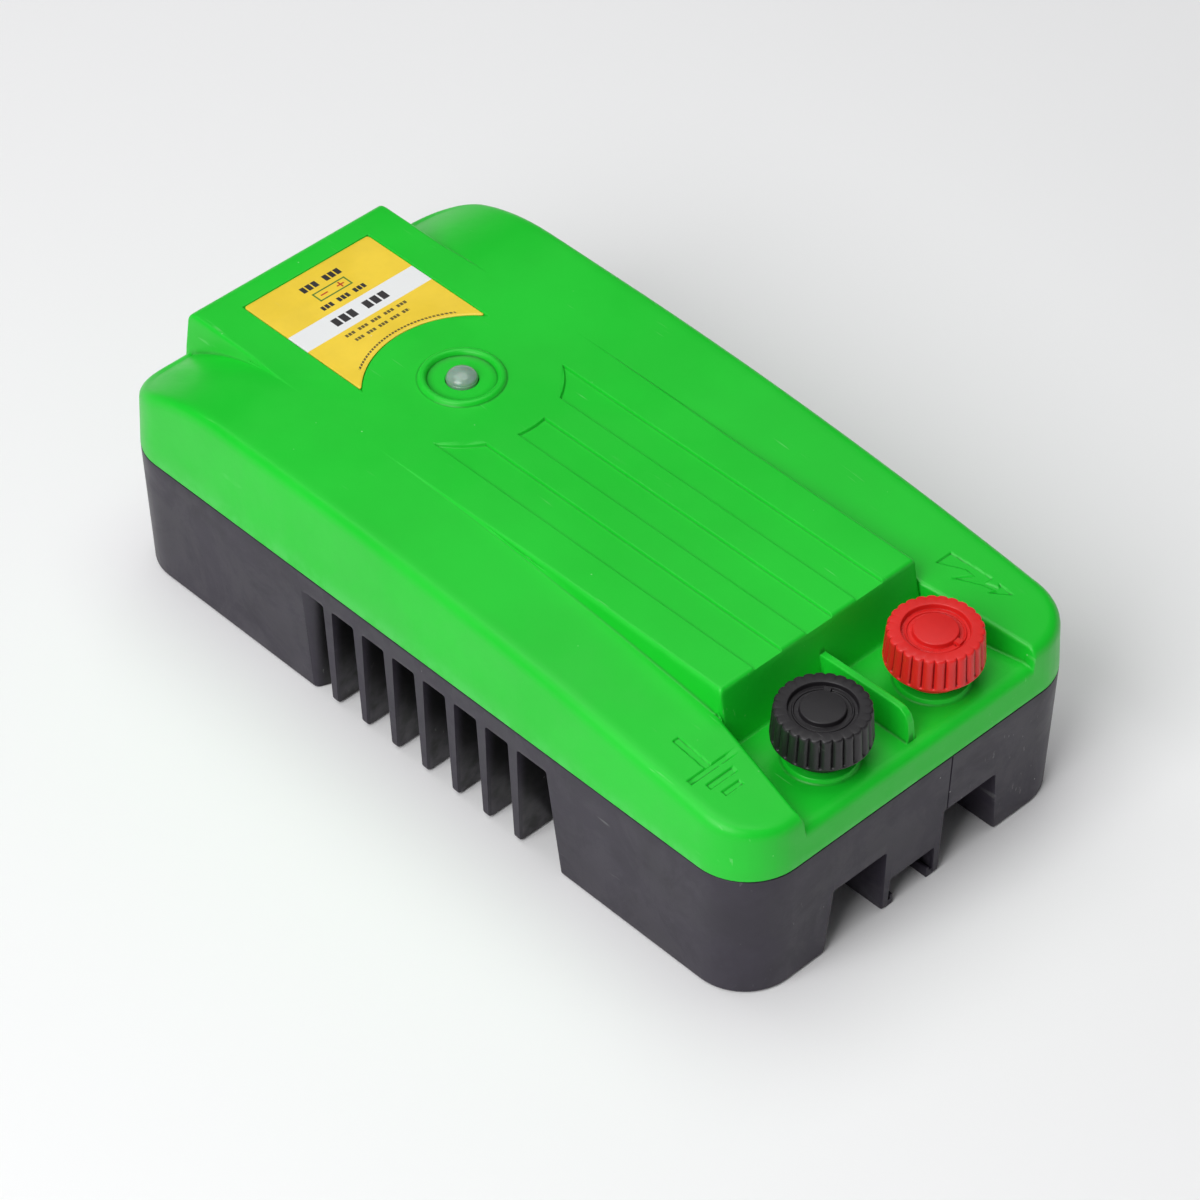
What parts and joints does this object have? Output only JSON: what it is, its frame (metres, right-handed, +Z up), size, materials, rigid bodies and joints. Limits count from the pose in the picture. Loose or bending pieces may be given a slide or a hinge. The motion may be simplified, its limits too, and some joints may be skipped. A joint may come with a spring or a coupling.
{
  "type": "fence energizer",
  "caption": "Battery fence energizer: long box with a ribbed dark base, an arched green cover with a raised strip and status lamp, and two screw-knob terminals in an open front pocket.",
  "frame": {"origin": "centre of the bounding box at the underside of the feet", "axes": "+Z up from the feet, +Y along the length towards the rear, with the terminals at the -Y end, +X to the right when seen from the terminals"},
  "size_m": [0.1284, 0.25, 0.0752],
  "materials": {
    "cover_green": "moulded, satin",
    "base_black": "moulded, fine satin",
    "knob_black": "moulded, satin",
    "knob_red": "moulded, satin",
    "label_yellow": "printed film, semi-gloss",
    "lens_grey": "translucent, polished",
    "seal_rubber": "matte",
    "zinc_steel": "zinc plated",
    "brass": "bright",
    "board_green": "solder-masked laminate",
    "core_steel": "varnished laminations",
    "bobbin_cream": "moulded nylon",
    "coil_copper": "enamelled copper wire",
    "capacitor_blue": "epoxy sealed box",
    "can_black": "sleeved can",
    "chip_black": "moulded epoxy",
    "aluminium": "extruded",
    "fuse_glass": "clear",
    "terminal_green": "moulded",
    "resistor_blue": "lacquered",
    "led_red": "clear tinted",
    "lead_red": "insulated wire",
    "lead_black": "insulated wire"
  },
  "bodies": {
    "housing": {"base_tub": "base_black", "top_cover": "cover_green", "housing_gasket": "seal_rubber", "label_plate": "label_yellow", "led_lens": "lens_grey", "supply_inlet": "can_black", "supply_inlet_nut": "zinc_steel", "supply_inlet_pin": "brass", "circuit_board": "board_green", "transformer_core": "core_steel", "transformer_bobbin": "bobbin_cream", "transformer_coil": "coil_copper", "storage_capacitor": "capacitor_blue", "smoothing_capacitor": "can_black", "converter_coil": "coil_copper", "thyristor": "chip_black", "heat_sink": "aluminium", "control_chip": "chip_black", "fuse_tube": "fuse_glass", "fuse_clip_1": "brass", "fuse_clip_2": "brass", "supply_terminal": "terminal_green", "led_holder": "can_black", "status_led": "led_red", "supply_lead_plus": "lead_red", "supply_lead_minus": "lead_black", "cover_screw_1": "zinc_steel", "board_screw_1": "zinc_steel", "resistor_1": "resistor_blue", "cover_screw_2": "zinc_steel", "board_screw_2": "zinc_steel", "resistor_2": "resistor_blue", "cover_screw_3": "zinc_steel", "board_screw_3": "zinc_steel", "resistor_3": "resistor_blue", "cover_screw_4": "zinc_steel", "board_screw_4": "zinc_steel", "resistor_4": "resistor_blue", "terminal_stud_earth": "zinc_steel", "stud_nut_earth": "zinc_steel", "ring_terminal_earth": "brass", "output_lead_earth": "lead_black", "terminal_stud_fence": "zinc_steel", "stud_nut_fence": "zinc_steel", "ring_terminal_fence": "brass", "output_lead_fence": "lead_red"},
    "clamp_earth": {"clamp_washer_earth": "zinc_steel"},
    "knob_earth": {"knob_earth": "knob_black", "knob_insert_earth": "brass"},
    "clamp_fence": {"clamp_washer_fence": "zinc_steel"},
    "knob_fence": {"knob_fence": "knob_red", "knob_insert_fence": "brass"}
  },
  "joints": [
    {"name": "clamp_lift_earth", "type": "slide", "parent": "housing", "child": "clamp_earth", "axis": [0, 0, 1], "range_m": [0, 0.004]},
    {"name": "knob_turn_earth", "type": "hinge", "parent": "clamp_earth", "child": "knob_earth", "pos_m": [-0.021, -0.1086, 0.062], "axis": [0, 0, 1], "range_deg": [0, 1440]},
    {"name": "clamp_lift_fence", "type": "slide", "parent": "housing", "child": "clamp_fence", "axis": [0, 0, 1], "range_m": [0, 0.004]},
    {"name": "knob_turn_fence", "type": "hinge", "parent": "clamp_fence", "child": "knob_fence", "pos_m": [0.021, -0.1086, 0.062], "axis": [0, 0, 1], "range_deg": [0, 1440]}
  ],
  "couplings": [
    {"joint": "knob_turn_earth", "follows": "clamp_lift_earth", "rad_per_m": 6283.2},
    {"joint": "knob_turn_fence", "follows": "clamp_lift_fence", "rad_per_m": 6283.2}
  ]
}
